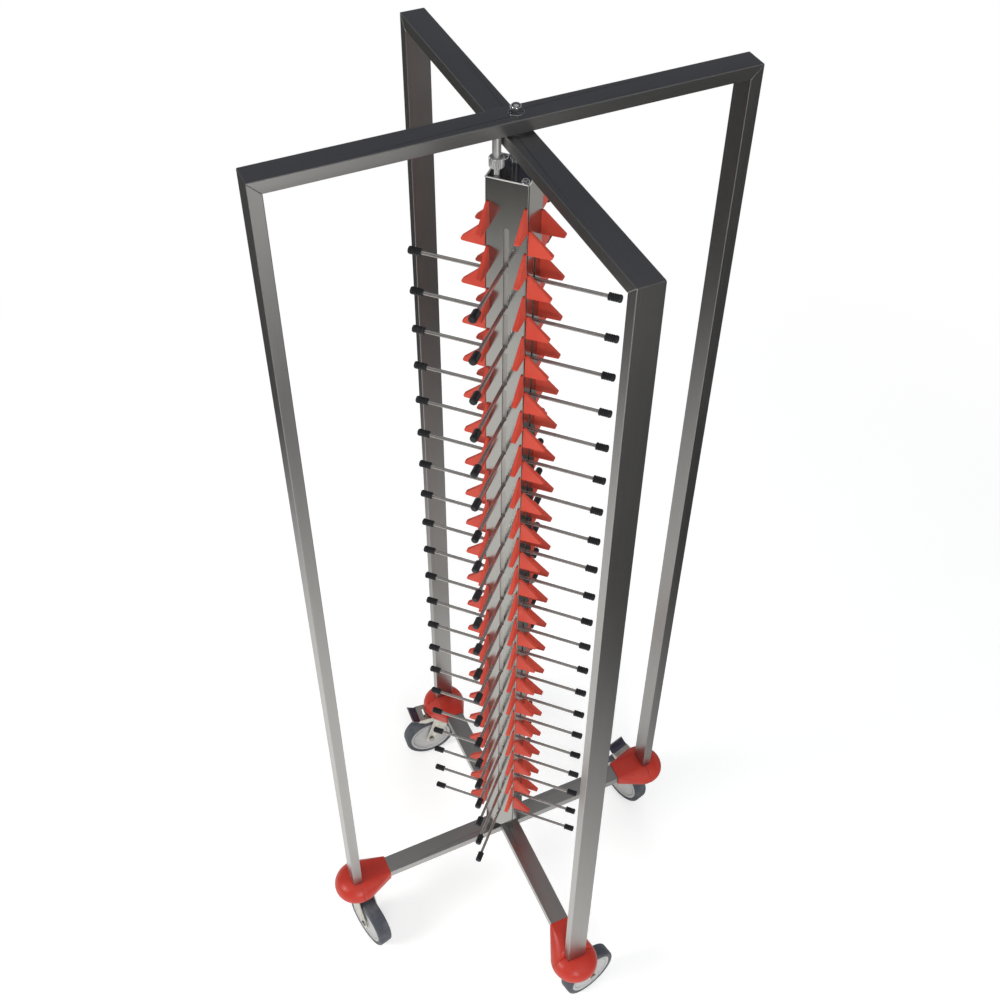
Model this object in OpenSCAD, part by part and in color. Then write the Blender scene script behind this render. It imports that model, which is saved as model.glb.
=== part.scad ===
// Mobile plate stand: two nested tube frames crossed on one upright axis, with a
// slotted column between them that carries four banks of plate rods and clips.
// Millimetres, +Z up, origin on the floor on the column's axis.
// The column's faces look along X and Y, and the frames lie on the diagonals.

/* [Frames] */
// Height of the whole stand
stand_h = 2000; // [1400:5:2200]
// Overall width of the outer frame, measured along its own bar
frame_a_w = 746; // [640:2:860]
// How much shorter the inner frame is, measured along its own bar
frame_b_less = 6; // [0:1:12]
// Wide side of the frame tube
tube_w = 40; // [34:1:44]
// Narrow side of the frame tube
tube_t = 20; // [17:0.5:22]
// Wall of the frame tube
tube_wall = 1.5; // [1:0.1:2.5]
// Gap between the crossing bars at the top, filled by a washer
top_gap = 3.5; // [2.5:0.5:8]
// Gap between the crossing bars at the bottom, filled by a washer
base_gap = 2.5; // [1.5:0.5:6]
// Radius of the two crossing washers
washer_r = 17; // [12:1:19]

/* [Column] */
// Width of the square column
column_w = 64; // [62:1:70]
// Wall of the column
column_wall = 1.5; // [1:0.1:2]
// Outer corner radius of the column
column_r = 2.5; // [2:0.25:3]
// Clear height between the column and the inner frame's top bar
head_gap = 42.5; // [40:0.5:60]
// Thickness of the column's top and foot plates
plate_t = 4; // [3:0.5:5]
// Diameter of the spindle through the axis
spindle_d = 10; // [8:0.5:12]
// Outer diameter of the spacer sleeves round the spindle
sleeve_d = 14; // [13.5:0.5:17]

/* [Rods and clips] */
// Levels of plates on each face of a stand of the full height
levels = 21; // [4:1:21]
// Height from one plate to the next
pitch = 75; // [72:1:84]
// Height of the top rods on the front and back faces, below the stand's top
first_rod = 224; // [215:1:230]
// Diameter of a plate rod
rod_d = 6; // [5:0.5:7]
// Distance of a rod's tip from the axis
rod_reach = 163; // [130:1:170]
// Outer diameter of a rod cap
cap_d = 12.5; // [10:0.5:14]
// Length of a rod cap
cap_l = 21; // [16:1:26]
// Clearance of a rod in its slot
slot_clear = 1; // [0.5:0.1:1.2]
// How far the rods can be raised
rod_travel = 58; // [30:1:59]
// Width of the rail that carries a bank of rods
rail_w = 20; // [16:1:24]
// Thickness of that rail
rail_t = 4; // [3:0.5:5]
// Height of a clip
clip_h = 39; // [30:1:40]
// How far a clip stands out from the column
clip_out = 37; // [28:1:42]
// Thickness of a clip at its foot
clip_t = 7.5; // [5:0.5:8]
// Thickness of a clip at its top
clip_top_t = 4; // [3:0.5:5]
// Radius of a clip's rounded nose
clip_nose = 3.2; // [2:0.1:4]

/* [Casters] */
// Diameter of a wheel
wheel_d = 125; // [112:1:128]
// Width of a tyre
tyre_w = 32; // [26:1:34]
// Thickness of the tyre's rubber
tyre_t = 11; // [8:0.5:14]
// Trail, from the swivel axis to the wheel axle
trail = 43; // [40:1:46]
// How far the swivel axes stand inside the outer frame's ends
caster_at = 13; // [11:1:17]
// Height of the swivel plate's underside above the floor
swivel_h = 154; // [152:1:158]
// Height of the outer frame's base bar above the swivel plate's underside
bar_over_swivel = 16; // [12:1:22]
// Thickness of the fork's sheet
fork_t = 2.5; // [2:0.1:3]
// Diameter of the wheel axle
axle_d = 10; // [8:0.5:12]
// Diameter of the king pin
king_d = 12; // [10:0.5:14]

/* [Bumpers] */
// Outer radius of a corner bumper
bumper_r = 50; // [47:1:54]
// Lowest edge of a bumper above the floor
bumper_low = 160; // [158:1:164]
// Height of a bumper's round body
bumper_h = 38; // [36:1:44]
// Wall of a bumper
bumper_wall = 3; // [2:0.5:4]
// Length of the bumper's tail along the bar, from the swivel axis
tail_l = 72; // [60:1:90]

/* [Hidden] */
fit = 0.3;
bore_clear = 0.05;
// Gap at each face on which the outer frame turns
seat_gap = 0.1;
// Longer than anything that a cutting block has to pass
past = 200;
// Distance of the swivel axes from the stand's axis
caster_r = frame_a_w / 2 - caster_at;
frame_b_w = frame_a_w - frame_b_less;
a_base = swivel_h + bar_over_swivel;
b_base = a_base + tube_t + base_gap;
a_top = stand_h;
b_top = stand_h - tube_t - top_gap;
column_top = b_top - tube_t - head_gap;
column_foot = b_base + tube_t;
half = column_w / 2;
inner = half - column_wall;
rod_y = stand_h - first_rod;
rod_x = rod_y - pitch / 2;
slot_w = rod_d + 2 * slot_clear;
// A stand of another height gains or loses whole levels at its foot.
full_h = 2000;
rows = levels + floor((stand_h - full_h) / pitch);
// A clip's foot lies just above the top of its rod's travel.
clip_rise = rod_travel + rod_d / 2 + 1;
rail_out = inner - 0.5;
rail_foot = column_foot + plate_t + fit;
// How far a rail stands above its top rod
rail_over = 16;
spider_t = 5;
// Play of the end plates in the column, over both sides
plate_play = 0.1;
plate_screw_d = 5;
// How far the spindle stands out of the frame at either end
spindle_over = 13;
nut_across = 16;
nut_h = 8;
nut_washer_t = 2;
swivel_plate_t = 4;
king_head_t = 5;
wheel_r = wheel_d / 2;
rim_r = wheel_r - tyre_t;
axle_h = wheel_r;
hub_w = tyre_w + 2;
fork_in = hub_w / 2 + 0.8;
crown_t = 4;
crown_r = 25;
crown_top = swivel_h - fit;
// Where the four casters stand: frame angle, heading of the wheel at rest, brake.
CASTERS = [
    ["front_left", 225, 328, false],
    ["front_right", 315, 58, false],
    ["back_right", 45, 150, true],
    ["back_left", 135, 222, true]
];
pedal_pin_d = 5;
lock_at = [-19.5, -19.5];
lock_pin_d = 8;
lock_collar_d = 11;
lock_head_d = 22;
lock_head_h = 11;
lock_head_at = column_top + 21;
pin_at = 24;
red = "#c83a2a";
steel = "#a9aaa6";
chrome = "#d9dbdc";
black = "#1c1e22";
grey = "#c9cac8";
tyre_grey = "#4a4d52";

// Frames

module mitred_tube(outline, cavity) {
    // A tube drawn from its side: an outline in the frame's own plane and its cavity.
    rotate([90, 0, 0]) difference() {
        linear_extrude(tube_w, center = true) polygon(outline);
        linear_extrude(tube_w - 2 * tube_wall, center = true) polygon(cavity);
    }
}

module bar(w, z, up) {
    // A bar across a frame, mitred at both ends. up is 1 on a top bar, -1 on a base bar.
    h = w / 2;
    k = tube_wall;
    t = tube_t;
    mitred_tube(
        [[-h, z], [h, z], [h - t, z - up * t], [-h + t, z - up * t]],
        [[-h + k, z - up * k], [h - k, z - up * k],
         [h - t + k, z - up * (t - k)], [-h + t - k, z - up * (t - k)]]
    );
}

module leg(w, z0, z1, side) {
    h = w / 2;
    k = tube_wall;
    t = tube_t;
    mitred_tube(
        [[side * h, z0], [side * h, z1], [side * (h - t), z1 - t], [side * (h - t), z0 + t]],
        [[side * (h - k), z0 + k], [side * (h - k), z1 - k],
         [side * (h - t + k), z1 - t + k], [side * (h - t + k), z0 + t - k]]
    );
}

module on_outer() {
    rotate([0, 0, 45]) children();
}

module on_inner() {
    rotate([0, 0, -45]) children();
}

module spindle_hole(z0, z1) {
    translate([0, 0, z0]) cylinder(d = spindle_d + 2 * bore_clear, h = z1 - z0, $fn = 48);
}

module outer_frame_top_bar() {
    color(steel) difference() {
        on_outer() bar(frame_a_w, a_top, 1);
        spindle_hole(a_top - tube_t - 1, a_top + 1);
    }
}

module outer_frame_left_leg() {
    color(steel) on_outer() leg(frame_a_w, a_base, a_top, -1);
}

module outer_frame_right_leg() {
    color(steel) on_outer() leg(frame_a_w, a_base, a_top, 1);
}

module outer_frame_base_bar() {
    color(steel) difference() {
        on_outer() bar(frame_a_w, a_base, -1);
        spindle_hole(a_base - 1, a_base + tube_t + 1);
    }
}

module inner_frame_top_bar() {
    color(steel) difference() {
        on_inner() bar(frame_b_w, b_top, 1);
        spindle_hole(b_top - tube_t - 1, b_top + 1);
    }
}

module inner_frame_left_leg() {
    color(steel) on_inner() leg(frame_b_w, b_base, b_top, -1);
}

module inner_frame_right_leg() {
    color(steel) on_inner() leg(frame_b_w, b_base, b_top, 1);
}

module inner_frame_base_bar() {
    color(steel) difference() {
        on_inner() bar(frame_b_w, b_base, -1);
        spindle_hole(b_base - 1, b_base + tube_t + 1);
    }
}

// Column

module rounded_square(w, r) {
    // Drawn from round corners and two rectangles, so its corners stay true arcs.
    union() {
        square([w - 2 * r, w], center = true);
        square([w, w - 2 * r], center = true);
        for (x = [-1, 1], y = [-1, 1])
            translate([x * (w / 2 - r), y * (w / 2 - r)]) circle(r, $fn = 32);
    }
}

module on_face(face) {
    // Turns a shape drawn on the +X face to a face: 0 right, 1 back, 2 left, 3 front.
    rotate([0, 0, 90 * face]) children();
}

function top_rod(face) = face % 2 == 0 ? rod_x : rod_y;

module slot(z) {
    // One rod's slot through a face, from its rest height up to the end of the travel.
    translate([half - column_wall - 1, 0, 0]) rotate([90, 0, 90])
        linear_extrude(column_wall + 2) union() {
            translate([0, z]) circle(d = slot_w, $fn = 32);
            translate([0, z + rod_travel]) circle(d = slot_w, $fn = 32);
            translate([-slot_w / 2, z]) square([slot_w, rod_travel]);
        }
}

module column_shell() {
    color(steel) difference() {
        translate([0, 0, column_foot]) linear_extrude(column_top - column_foot) difference() {
            rounded_square(column_w, column_r);
            rounded_square(column_w - 2 * column_wall, column_r - column_wall);
        }
        for (face = [0:3], k = [0:rows - 1]) on_face(face) slot(top_rod(face) - k * pitch);
    }
}

module end_plate(z) {
    // A plate let into the column's end.
    difference() {
        translate([0, 0, z]) linear_extrude(plate_t)
            rounded_square(column_w - 2 * column_wall - plate_play, column_r - column_wall);
        spindle_hole(z - 1, z + plate_t + 1);
    }
}

module column_top_plate() {
    color(steel) difference() {
        end_plate(column_top - plate_t);
        for (s = [-1, 1]) translate([s * pin_at, -s * pin_at, column_top - plate_t - 1])
            cylinder(d = plate_screw_d + 2 * bore_clear, h = plate_t + 2, $fn = 32);
        translate([lock_at.x, lock_at.y, column_top - plate_t - 1])
            cylinder(d = lock_pin_d + 2 * bore_clear, h = plate_t + 2, $fn = 48);
    }
}

module column_foot_plate() {
    color(steel) end_plate(column_foot);
}

module column_plate_screws() {
    // Two domed screws in the top plate, on the inner frame's line.
    color(chrome) for (s = [-1, 1]) translate([s * pin_at, -s * pin_at, column_top]) {
        translate([0, 0, -plate_t - 6]) cylinder(d = plate_screw_d, h = plate_t + 6, $fn = 32);
        rotate_extrude($fn = 48) intersection() {
            translate([0, -1.5]) circle(r = 6.5, $fn = 64);
            square([10, 10]);
        }
    }
}

// Axis

module spindle() {
    // The tie rod that holds the stack of bars and the column together.
    color(chrome) translate([0, 0, a_base - spindle_over])
        cylinder(d = spindle_d, h = a_top - a_base + 2 * spindle_over, $fn = 48);
}

module ring(z, h, r_out, r_in) {
    translate([0, 0, z]) rotate_extrude($fn = 64)
        translate([r_in, 0]) square([r_out - r_in, h]);
}

module crossing_washers() {
    // Flat washers between the crossing bars, clear of the outer frame, which turns on them.
    r_in = spindle_d / 2 + bore_clear;
    color(chrome) {
        ring(b_top, top_gap - seat_gap, washer_r, r_in);
        ring(b_base - base_gap + seat_gap, base_gap - seat_gap, washer_r, r_in);
    }
}

module spindle_sleeve() {
    // The sleeve that shows between the column's top and the inner frame's top bar.
    color(chrome) ring(column_top, head_gap, sleeve_d / 2, spindle_d / 2 + bore_clear);
}

module hex_nut(z, h, across) {
    difference() {
        translate([0, 0, z]) cylinder(d = across / cos(30), h = h, $fn = 6);
        spindle_hole(z - 1, z + h + 1);
    }
}

module spindle_foot_nut() {
    color(chrome) union() {
        hex_nut(a_base - nut_washer_t - nut_h, nut_h, nut_across);
        ring(a_base - nut_washer_t, nut_washer_t - seat_gap, 12, spindle_d / 2 + bore_clear);
    }
}

module top_nut() {
    // The domed nut on the spindle's top end, with its washer.
    dome_r = 9.6;
    base = a_top + nut_washer_t;
    color(chrome) difference() {
        union() {
            ring(a_top + seat_gap, nut_washer_t - seat_gap, 11, spindle_d / 2 + bore_clear);
            translate([0, 0, base]) cylinder(d = nut_across / cos(30), h = nut_h, $fn = 6);
            translate([0, 0, base + nut_h]) rotate_extrude($fn = 64)
                polygon(concat([[0, 0], [dome_r, 0]],
                    [for (a = [0:10:90]) [dome_r * cos(a), 1 + 8.4 * sin(a)]]));
        }
        translate([0, 0, a_top - 1])
            cylinder(d = spindle_d + 2 * bore_clear, h = spindle_over + 1.5, $fn = 48);
    }
}

module fold_lock_screw() {
    // A knurled screw through the column's top plate. Its tip bears on the outer frame's
    // top bar and keeps the two frames from folding.
    knurls = 24;
    z0 = column_top - plate_t - 5;
    tip = a_top - tube_t - fit;
    color(chrome) translate([lock_at.x, lock_at.y, 0]) union() {
        translate([0, 0, z0]) cylinder(d = lock_pin_d, h = tip - z0, $fn = 48);
        translate([0, 0, lock_head_at]) difference() {
            rotate_extrude($fn = 96) polygon([
                [0, 0], [lock_head_d / 2 - 1.2, 0], [lock_head_d / 2, 1.2],
                [lock_head_d / 2, lock_head_h - 1.2], [lock_head_d / 2 - 1.2, lock_head_h],
                [0, lock_head_h]
            ]);
            for (k = [0:knurls - 1]) rotate([0, 0, k * 360 / knurls])
                translate([lock_head_d / 2 + 0.5, 0, -1]) cylinder(r = 1, h = lock_head_h + 2, $fn = 16);
        }
        // Collar below the tip
        translate([0, 0, lock_head_at + lock_head_h + 3])
            cylinder(d = lock_collar_d, h = a_top - tube_t - 8 - (lock_head_at + lock_head_h + 3), $fn = 48);
    }
}

// Rods

module rail(face) {
    top = top_rod(face) + rail_over;
    on_face(face) translate([rail_out - rail_t, -rail_w / 2, rail_foot])
        cube([rail_t, rail_w, top - rail_foot]);
}

module rod_rails() {
    color(steel) for (face = [0:3]) rail(face);
}

module spider(z) {
    // A cross-shaped plate that joins the four rails and slides on the spindle.
    reach = rail_out - rail_t;
    difference() {
        translate([0, 0, z]) linear_extrude(spider_t) union() {
            square([2 * reach, rail_w], center = true);
            square([rail_w, 2 * reach], center = true);
            circle(d = rail_w * 1.5, $fn = 48);
        }
        spindle_hole(z - 1, z + spider_t + 1);
    }
}

module rail_spiders() {
    color(steel) for (z = [rail_foot, rail_foot + (rod_x - rail_foot) / 2, rod_x - spider_t]) spider(z);
}

module rods(face) {
    color(chrome) for (k = [0:rows - 1]) on_face(face)
        translate([rail_out, 0, top_rod(face) - k * pitch])
            rotate([0, 90, 0]) cylinder(d = rod_d, h = rod_reach - rail_out, $fn = 32);
}

module rods_right() {
    rods(0);
}

module rods_back() {
    rods(1);
}

module rods_left() {
    rods(2);
}

module rods_front() {
    rods(3);
}

module rod_cap() {
    // A ribbed rubber cap with a blind bore and a rounded end, pointing along +Z.
    r = cap_d / 2;
    bore = rod_d / 2 + 0.02;
    depth = cap_l - 3;
    ribs = [for (k = [0:3]) 3.5 + k * 3.4];
    rotate_extrude($fn = 40) polygon(concat(
        [[bore, 0], [r - 0.8, 0], [r, 0.8]],
        [for (z = ribs, p = [[0, 0], [-0.7, 0.5], [-0.7, 1.3], [0, 1.8]]) [r + p[0], z + p[1]]],
        [[r, cap_l - 2.5], [r - 0.8, cap_l - 0.8], [r - 2.6, cap_l], [0, cap_l],
         [0, depth], [bore, depth]]
    ));
}

module rod_caps() {
    color(black) for (face = [0:3], k = [0:rows - 1]) on_face(face)
        translate([rod_reach + 3 - cap_l, 0, top_rod(face) - k * pitch])
            rotate([0, 90, 0]) rod_cap();
}

// Clips

module clip_side() {
    // A clip's side view: upright edge on the column, long sloping back, rounded nose.
    r = clip_nose;
    nose = [clip_out - r, r + 1.2];
    slope = atan2(clip_h - 1 - nose.y, nose.x - 3);
    polygon(concat(
        [[0, 0], [nose.x, 1.2]],
        [for (a = [-80:20:90 - slope - 5]) [nose.x + r * cos(a), nose.y + r * sin(a)]],
        [[nose.x + r * cos(90 - slope), nose.y + r * sin(90 - slope)]],
        [[4.2, clip_h - 1.6], [2.6, clip_h - 0.3], [0, clip_h]]
    ));
}

module clip_pair(z) {
    // Two clips on a face's upright edges, thick at the foot and thin at the top.
    side = half - clip_t / 2 - 0.1;
    for (s = [-1, 1]) translate([half, s * side, z]) intersection() {
        rotate([90, 0, 0]) linear_extrude(clip_t, center = true) clip_side();
        translate([-1, 0, 0]) rotate([90, 0, 90]) linear_extrude(clip_out + 2) polygon([
            [-clip_t / 2, 0], [clip_t / 2, 0], [clip_t / 2, clip_nose],
            [clip_top_t / 2, clip_h], [-clip_top_t / 2, clip_h], [-clip_t / 2, clip_nose]
        ]);
    }
}

module clips(face) {
    color(red) for (k = [0:rows - 1]) on_face(face)
        clip_pair(top_rod(face) - k * pitch + clip_rise);
}

module clips_right() {
    clips(0);
}

module clips_back() {
    clips(1);
}

module clips_left() {
    clips(2);
}

module clips_front() {
    clips(3);
}

// Bumpers

function arc(cx, cy, r, a0, a1, n = 8) =
    [for (k = [0:n]) let (a = a0 + (a1 - a0) * k / n) [cx + r * cos(a), cy + r * sin(a)]];

module bumper_shell_profile() {
    // Half section of the round body: a full outer curve and a hollow that is open below.
    r = bumper_r;
    h = bumper_h;
    w = bumper_wall;
    e = 16;
    polygon(concat(
        [[r - w - 4, 0], [r - 4, 0]],
        arc(r - e, e, e, -50, 0),
        arc(r - e, h - e, e, 0, 90),
        [[0, h], [0, h - w]],
        arc(r - e, h - e, e - w, 90, 0),
        arc(r - e, e, e - w, 0, -40)
    ));
}

module bumper_round(part) {
    // part is 1 for the outer half and -1 for the inner half.
    turn = part > 0 ? -90 : 90;
    translate([caster_r, 0, bumper_low]) rotate([0, 0, turn])
        rotate_extrude(angle = 180, $fn = 64) bumper_shell_profile();
}

module leg_cut(w) {
    translate([w / 2 - tube_t - fit, -tube_w / 2 - fit, bumper_low - 1])
        cube([tube_t + 2 * fit, tube_w + 2 * fit, past]);
}

module tail_outside(bar_z) {
    // The tail runs from the round body to a mouth that fits round the bar.
    w = bumper_wall;
    wide = bumper_r - 7;
    hull() {
        translate([caster_r - 1, 0, bumper_low + 8]) rotate([90, 0, 0])
            cylinder(r = 4, h = 2 * wide, center = true, $fn = 24);
        translate([caster_r - 1, 0, max(bumper_low + bumper_h, bar_z + tube_t + w) - 5])
            rotate([90, 0, 0]) cylinder(r = 5, h = 2 * wide - 12, center = true, $fn = 24);
        translate([caster_r - tail_l, 0, bar_z + tube_t / 2])
            cube([2, tube_w + 2 * w, tube_t + 2 * w], center = true);
    }
}

module tail_inside(bar_z) {
    // Hollow of the tail: the bar's own channel and the space of the round body.
    translate([caster_r - tail_l - 5, -tube_w / 2 - fit, bar_z - fit])
        cube([tail_l + 20, tube_w + 2 * fit, tube_t + 2 * fit]);
    translate([caster_r, 0, bumper_low - 1])
        cylinder(r = bumper_r - 9, h = bumper_h - bumper_wall - 3, $fn = 64);
}

module bumper_outer_half(w) {
    difference() {
        bumper_round(1);
        leg_cut(w);
    }
}

module bumper_inner_half(w, bar_z) {
    difference() {
        union() {
            bumper_round(-1);
            intersection() {
                tail_outside(bar_z);
                translate([caster_r - past, -past / 2, 0]) cube([past, past, 2 * past]);
            }
        }
        leg_cut(w);
        tail_inside(bar_z);
    }
}

module both_ends() {
    for (a = [0, 180]) rotate([0, 0, a]) children();
}

module bumper_outer_halves_a() {
    color(red) on_outer() both_ends() bumper_outer_half(frame_a_w);
}

module bumper_inner_halves_a() {
    color(red) on_outer() both_ends() bumper_inner_half(frame_a_w, a_base);
}

module bumper_outer_halves_b() {
    color(red) on_inner() both_ends() bumper_outer_half(frame_b_w);
}

module bumper_inner_halves_b() {
    color(red) on_inner() both_ends() bumper_inner_half(frame_b_w, b_base);
}

// Casters

module at_caster(i) {
    c = CASTERS[i];
    rotate([0, 0, c[1]]) translate([caster_r, 0, 0]) children();
}

module headed(i) {
    // A caster's swivelling parts, drawn with the wheel trailing along +X.
    c = CASTERS[i];
    at_caster(i) rotate([0, 0, c[2] - c[1]]) children();
}

module caster_mount(i) {
    // Boss under the frame's corner, swivel plate and king pin in one.
    under = i % 2 == 0 ? a_base : b_base;
    color(chrome) at_caster(i) union() {
        translate([0, 0, swivel_h + swivel_plate_t])
            cylinder(r = 9.5, h = under - swivel_h - swivel_plate_t, $fn = 48);
        translate([0, 0, swivel_h]) cylinder(r = crown_r + 2, h = swivel_plate_t, $fn = 64);
        translate([0, 0, crown_top - crown_t - 4]) cylinder(d = king_d, h = crown_t + 6, $fn = 48);
        translate([0, 0, crown_top - crown_t - king_head_t - fit])
            cylinder(r = 9.5, h = king_head_t, $fn = 6);
    }
}

module cheek_outline() {
    // A fork cheek seen from the side, origin at the swivel axis on the floor.
    top = crown_top;
    r = 13;
    polygon(concat(
        [[-crown_r + 5, top], [crown_r - 1, top], [crown_r + 8, top - 14]],
        arc(trail, axle_h, r, 35, -180, 12),
        [[-crown_r + 8, top - 26], [-crown_r + 5, top - 12]]
    ));
}

function pedal_pin() = [crown_r + 1, crown_top - 9];

module fork(i) {
    color(chrome) headed(i) difference() {
        union() {
            // The pedal's hinge pins stand on the cheeks of a braked fork.
            if (CASTERS[i][3]) for (s = [-1, 1])
                translate([pedal_pin().x, s * (fork_in + fork_t - 0.5), pedal_pin().y])
                    rotate([s > 0 ? -90 : 90, 0, 0]) cylinder(d = pedal_pin_d, h = 3.6, $fn = 32);
            translate([0, 0, crown_top - crown_t]) intersection() {
                cylinder(r = crown_r, h = crown_t, $fn = 64);
                translate([-past / 2, -fork_in - fork_t, -1])
                    cube([past, 2 * (fork_in + fork_t), crown_t + 2]);
            }
            for (s = [-1, 1]) translate([0, s * (fork_in + fork_t / 2), 0]) rotate([90, 0, 0])
                linear_extrude(fork_t, center = true) cheek_outline();
        }
        translate([0, 0, crown_top - crown_t - 1])
            cylinder(d = king_d + 2 * bore_clear, h = crown_t + 2, $fn = 48);
        translate([trail, 0, axle_h]) rotate([90, 0, 0])
            cylinder(d = axle_d + 2 * bore_clear, h = 4 * fork_in, center = true, $fn = 48);
    }
}

module axle(i) {
    // Bolt, head and nut of a wheel axle.
    out = fork_in + fork_t;
    color(chrome) headed(i) translate([trail, 0, axle_h]) rotate([90, 0, 0]) union() {
        cylinder(d = axle_d, h = 2 * out + 2, center = true, $fn = 48);
        translate([0, 0, out]) cylinder(d = 17 / cos(30), h = 4.5, $fn = 6);
        translate([0, 0, -out - 5.5]) cylinder(d = 17 / cos(30), h = 5.5, $fn = 6);
    }
}

module wheel(i) {
    // Plastic wheel: rim, thin web with a raised ring, and a long hub.
    w = tyre_w / 2;
    hub = axle_d / 2 + 7;
    color(grey) headed(i) translate([trail, 0, axle_h]) rotate([90, 0, 0]) difference() {
        rotate_extrude($fn = 96) polygon([
            [0, -hub_w / 2], [hub - 1, -hub_w / 2], [hub, -hub_w / 2 + 1], [hub + 1, -w + 6],
            [rim_r - 8, -w + 5], [rim_r - 6, -w + 1.5], [rim_r - 1, -w + 1], [rim_r, -w + 2],
            [rim_r, w - 2], [rim_r - 1, w - 1], [rim_r - 6, w - 1.5], [rim_r - 8, w - 5],
            [hub + 1, w - 6], [hub, hub_w / 2 - 1], [hub - 1, hub_w / 2], [0, hub_w / 2]
        ]);
        cylinder(d = axle_d + 2 * bore_clear, h = hub_w + 2, center = true, $fn = 48);
    }
}

module tyre(i) {
    // Rubber tread with rounded shoulders, moulded on the rim.
    w = tyre_w / 2;
    s = 6;
    color(tyre_grey) headed(i) translate([trail, 0, axle_h]) rotate([90, 0, 0])
        rotate_extrude($fn = 128) polygon(concat(
            [[rim_r, -w + 2], [rim_r + 1, -w + 0.6], [rim_r + 3, -w]],
            arc(wheel_r - s, -w + s, s, -90, -12, 5),
            [[wheel_r, -w + s + 3], [wheel_r, w - s - 3]],
            arc(wheel_r - s, w - s, s, 12, 90, 5),
            [[rim_r + 3, w], [rim_r + 1, w - 0.6], [rim_r, w - 2]]
        ));
}

module pedal(i) {
    // Bent sheet brake pedal, hinged on a pin across the fork behind the crown.
    out = fork_in + fork_t + fit;
    pin = pedal_pin();
    tread_z = wheel_d + 9;
    color(chrome) headed(i) union() {
        for (s = [-1, 1]) translate([0, s * (out + 1), 0]) rotate([90, 0, 0])
            linear_extrude(2, center = true) difference() {
                polygon(concat(
                    arc(pin.x, pin.y, 6, 90, 270, 8),
                    [[trail + 22, tread_z - 4], [trail + 24, tread_z + 4], [trail + 4, tread_z + 12]]
                ));
                translate(pin) circle(d = pedal_pin_d + 2 * bore_clear, $fn = 32);
            }
        rotate([90, 0, 0]) linear_extrude(2 * out + 0.1, center = true) polygon([
            [trail - 2, tread_z + 10], [trail + 8, tread_z + 10], [trail + 12, tread_z + 5],
            [trail + 22, tread_z + 5], [trail + 27, tread_z], [trail + 38, tread_z - 3],
            [trail + 38, tread_z - 5], [trail + 26, tread_z - 2], [trail + 21, tread_z + 3],
            [trail + 11, tread_z + 3], [trail + 7, tread_z + 8], [trail - 2, tread_z + 8]
        ]);
    }
}

module caster_mount_front_left() {
    caster_mount(0);
}

module caster_mount_front_right() {
    caster_mount(1);
}

module caster_mount_back_right() {
    caster_mount(2);
}

module caster_mount_back_left() {
    caster_mount(3);
}

module caster_fork_front_left() {
    fork(0);
}

module caster_fork_front_right() {
    fork(1);
}

module caster_fork_back_right() {
    fork(2);
}

module caster_fork_back_left() {
    fork(3);
}

module caster_axle_front_left() {
    axle(0);
}

module caster_axle_front_right() {
    axle(1);
}

module caster_axle_back_right() {
    axle(2);
}

module caster_axle_back_left() {
    axle(3);
}

module wheel_front_left() {
    wheel(0);
}

module wheel_front_right() {
    wheel(1);
}

module wheel_back_right() {
    wheel(2);
}

module wheel_back_left() {
    wheel(3);
}

module tyre_front_left() {
    tyre(0);
}

module tyre_front_right() {
    tyre(1);
}

module tyre_back_right() {
    tyre(2);
}

module tyre_back_left() {
    tyre(3);
}

module brake_pedal_back_right() {
    pedal(2);
}

module brake_pedal_back_left() {
    pedal(3);
}

outer_frame_top_bar();
outer_frame_left_leg();
outer_frame_right_leg();
outer_frame_base_bar();
inner_frame_top_bar();
inner_frame_left_leg();
inner_frame_right_leg();
inner_frame_base_bar();
column_shell();
column_top_plate();
column_foot_plate();
column_plate_screws();
spindle();
crossing_washers();
spindle_sleeve();
spindle_foot_nut();
top_nut();
fold_lock_screw();
rod_rails();
rail_spiders();
rods_front();
rods_right();
rods_back();
rods_left();
rod_caps();
clips_front();
clips_right();
clips_back();
clips_left();
bumper_outer_halves_a();
bumper_inner_halves_a();
bumper_outer_halves_b();
bumper_inner_halves_b();
caster_mount_front_left();
caster_mount_front_right();
caster_mount_back_right();
caster_mount_back_left();
caster_fork_front_left();
caster_fork_front_right();
caster_fork_back_right();
caster_fork_back_left();
caster_axle_front_left();
caster_axle_front_right();
caster_axle_back_right();
caster_axle_back_left();
wheel_front_left();
wheel_front_right();
wheel_back_right();
wheel_back_left();
tyre_front_left();
tyre_front_right();
tyre_back_right();
tyre_back_left();
brake_pedal_back_right();
brake_pedal_back_left();
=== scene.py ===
"""Looks of a mobile plate stand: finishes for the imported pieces, finer details, and the studio."""
import logging
import math
from dataclasses import dataclass, field
from enum import Enum

import bmesh
import bpy
from mathutils import Matrix, Vector


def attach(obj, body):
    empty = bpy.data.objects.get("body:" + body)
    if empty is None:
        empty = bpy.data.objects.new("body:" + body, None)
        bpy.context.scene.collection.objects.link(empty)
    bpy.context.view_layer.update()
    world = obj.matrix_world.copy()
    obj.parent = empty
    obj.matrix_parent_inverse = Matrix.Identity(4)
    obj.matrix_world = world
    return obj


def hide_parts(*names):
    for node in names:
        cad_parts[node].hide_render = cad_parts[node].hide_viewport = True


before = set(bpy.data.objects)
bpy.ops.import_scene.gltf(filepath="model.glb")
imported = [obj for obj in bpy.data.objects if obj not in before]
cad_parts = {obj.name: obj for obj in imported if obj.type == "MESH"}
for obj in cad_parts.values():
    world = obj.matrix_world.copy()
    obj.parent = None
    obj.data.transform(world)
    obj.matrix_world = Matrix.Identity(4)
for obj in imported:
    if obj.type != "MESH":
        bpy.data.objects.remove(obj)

LOG = logging.getLogger("plate_stand")
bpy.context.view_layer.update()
MM = 0.001
WELD_REACH = 1e-5
MERGE_REACH = 1e-6
POLE_REACH = 1e-7
ROUNDING_STEPS = 2
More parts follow.
